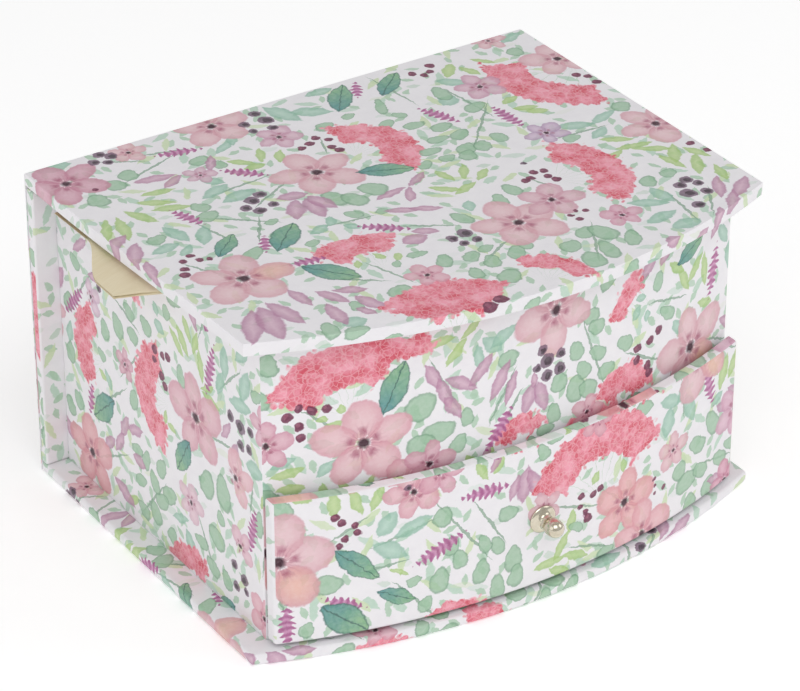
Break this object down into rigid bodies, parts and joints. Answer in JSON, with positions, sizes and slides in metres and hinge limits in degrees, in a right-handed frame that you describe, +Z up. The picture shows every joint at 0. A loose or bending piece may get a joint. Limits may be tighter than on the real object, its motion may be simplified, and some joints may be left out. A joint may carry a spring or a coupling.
{
  "type": "sewing box with drawer and tray",
  "caption": "Bow-front covered cardboard sewing box with a hinged lid on ribbon stays, a divided tray in the upper compartment and a drawer with a round knob.",
  "frame": {"origin": "centre of the base board's underside, which rests on the table", "axes": "+X across the box to the right, +Y from the bowed front to the spine, +Z up"},
  "size_m": [0.2162, 0.1686, 0.1165],
  "materials": {
    "printed_board": "grey board covered with printed floral paper",
    "printed_paper": "printed floral paper, slight satin",
    "plain_board": "board covered with plain off-white paper",
    "felt_lining": "soft cream lining",
    "satin_ribbon": "cream satin ribbon",
    "knob_metal": "polished pale gold",
    "fixing_steel": "zinc plated"
  },
  "bodies": {
    "box": {"base_board": "printed_board", "spine_board": "printed_board", "spine_cover_paper": "printed_paper", "body_floor": "plain_board", "left_wall": "printed_board", "right_wall": "printed_board", "back_wall": "printed_board", "front_wall": "printed_board", "shelf": "plain_board", "shelf_lining": "felt_lining", "tray_rest_left": "plain_board", "tray_rest_right": "plain_board", "tray_floor": "plain_board", "tray_left_wall": "plain_board", "tray_right_wall": "plain_board", "tray_back_wall": "plain_board", "tray_front_wall": "plain_board", "tray_long_divider": "plain_board", "tray_front_divider": "plain_board", "tray_back_dividers": "plain_board", "tray_lining": "felt_lining", "ribbon_left_wall_end": "satin_ribbon", "ribbon_right_wall_end": "satin_ribbon"},
    "lid": {"lid_board": "printed_board", "lid_hinge_paper": "printed_paper", "lid_pad": "plain_board", "ribbon_left_lid_end": "satin_ribbon", "ribbon_right_lid_end": "satin_ribbon"},
    "stay_left_lower": {"ribbon_left_lower": "satin_ribbon"},
    "stay_right_lower": {"ribbon_right_lower": "satin_ribbon"},
    "stay_left_upper": {"ribbon_left_upper": "satin_ribbon"},
    "stay_right_upper": {"ribbon_right_upper": "satin_ribbon"},
    "drawer": {"drawer_front": "printed_board", "drawer_inner_front": "plain_board", "drawer_left_side": "plain_board", "drawer_right_side": "plain_board", "drawer_back": "plain_board", "drawer_bottom": "plain_board", "drawer_lining": "felt_lining", "knob": "knob_metal", "knob_screw": "fixing_steel", "knob_washer": "fixing_steel"}
  },
  "joints": [
    {"name": "lid_hinge", "type": "hinge", "parent": "box", "child": "lid", "pos_m": [0, 0.08, 0.112], "axis": [-1, 0, 0], "range_deg": [0, 100]},
    {"name": "drawer_slide", "type": "slide", "parent": "box", "child": "drawer", "axis": [0, -1, 0], "range_m": [0, 0.11]},
    {"name": "stay_left_lower_turn", "type": "hinge", "parent": "box", "child": "stay_left_lower", "pos_m": [0, -0.005, 0.11], "axis": [-1, 0, 0], "range_deg": [-40, 0], "deforming": ["ribbon_left_lower"]},
    {"name": "stay_left_upper_turn", "type": "hinge", "parent": "lid", "child": "stay_left_upper", "pos_m": [0, -0.005, 0.1111], "axis": [-1, 0, 0], "range_deg": [0, 40], "deforming": ["ribbon_left_upper"]},
    {"name": "stay_right_lower_turn", "type": "hinge", "parent": "box", "child": "stay_right_lower", "pos_m": [0, -0.005, 0.11], "axis": [-1, 0, 0], "range_deg": [-40, 0], "deforming": ["ribbon_right_lower"]},
    {"name": "stay_right_upper_turn", "type": "hinge", "parent": "lid", "child": "stay_right_upper", "pos_m": [0, -0.005, 0.1111], "axis": [-1, 0, 0], "range_deg": [0, 40], "deforming": ["ribbon_right_upper"]}
  ],
  "couplings": [
    {"joint": "stay_left_lower_turn", "follows": "lid_hinge", "ratio": -0.4},
    {"joint": "stay_left_upper_turn", "follows": "lid_hinge", "ratio": 0.4},
    {"joint": "stay_right_lower_turn", "follows": "lid_hinge", "ratio": -0.4},
    {"joint": "stay_right_upper_turn", "follows": "lid_hinge", "ratio": 0.4}
  ]
}
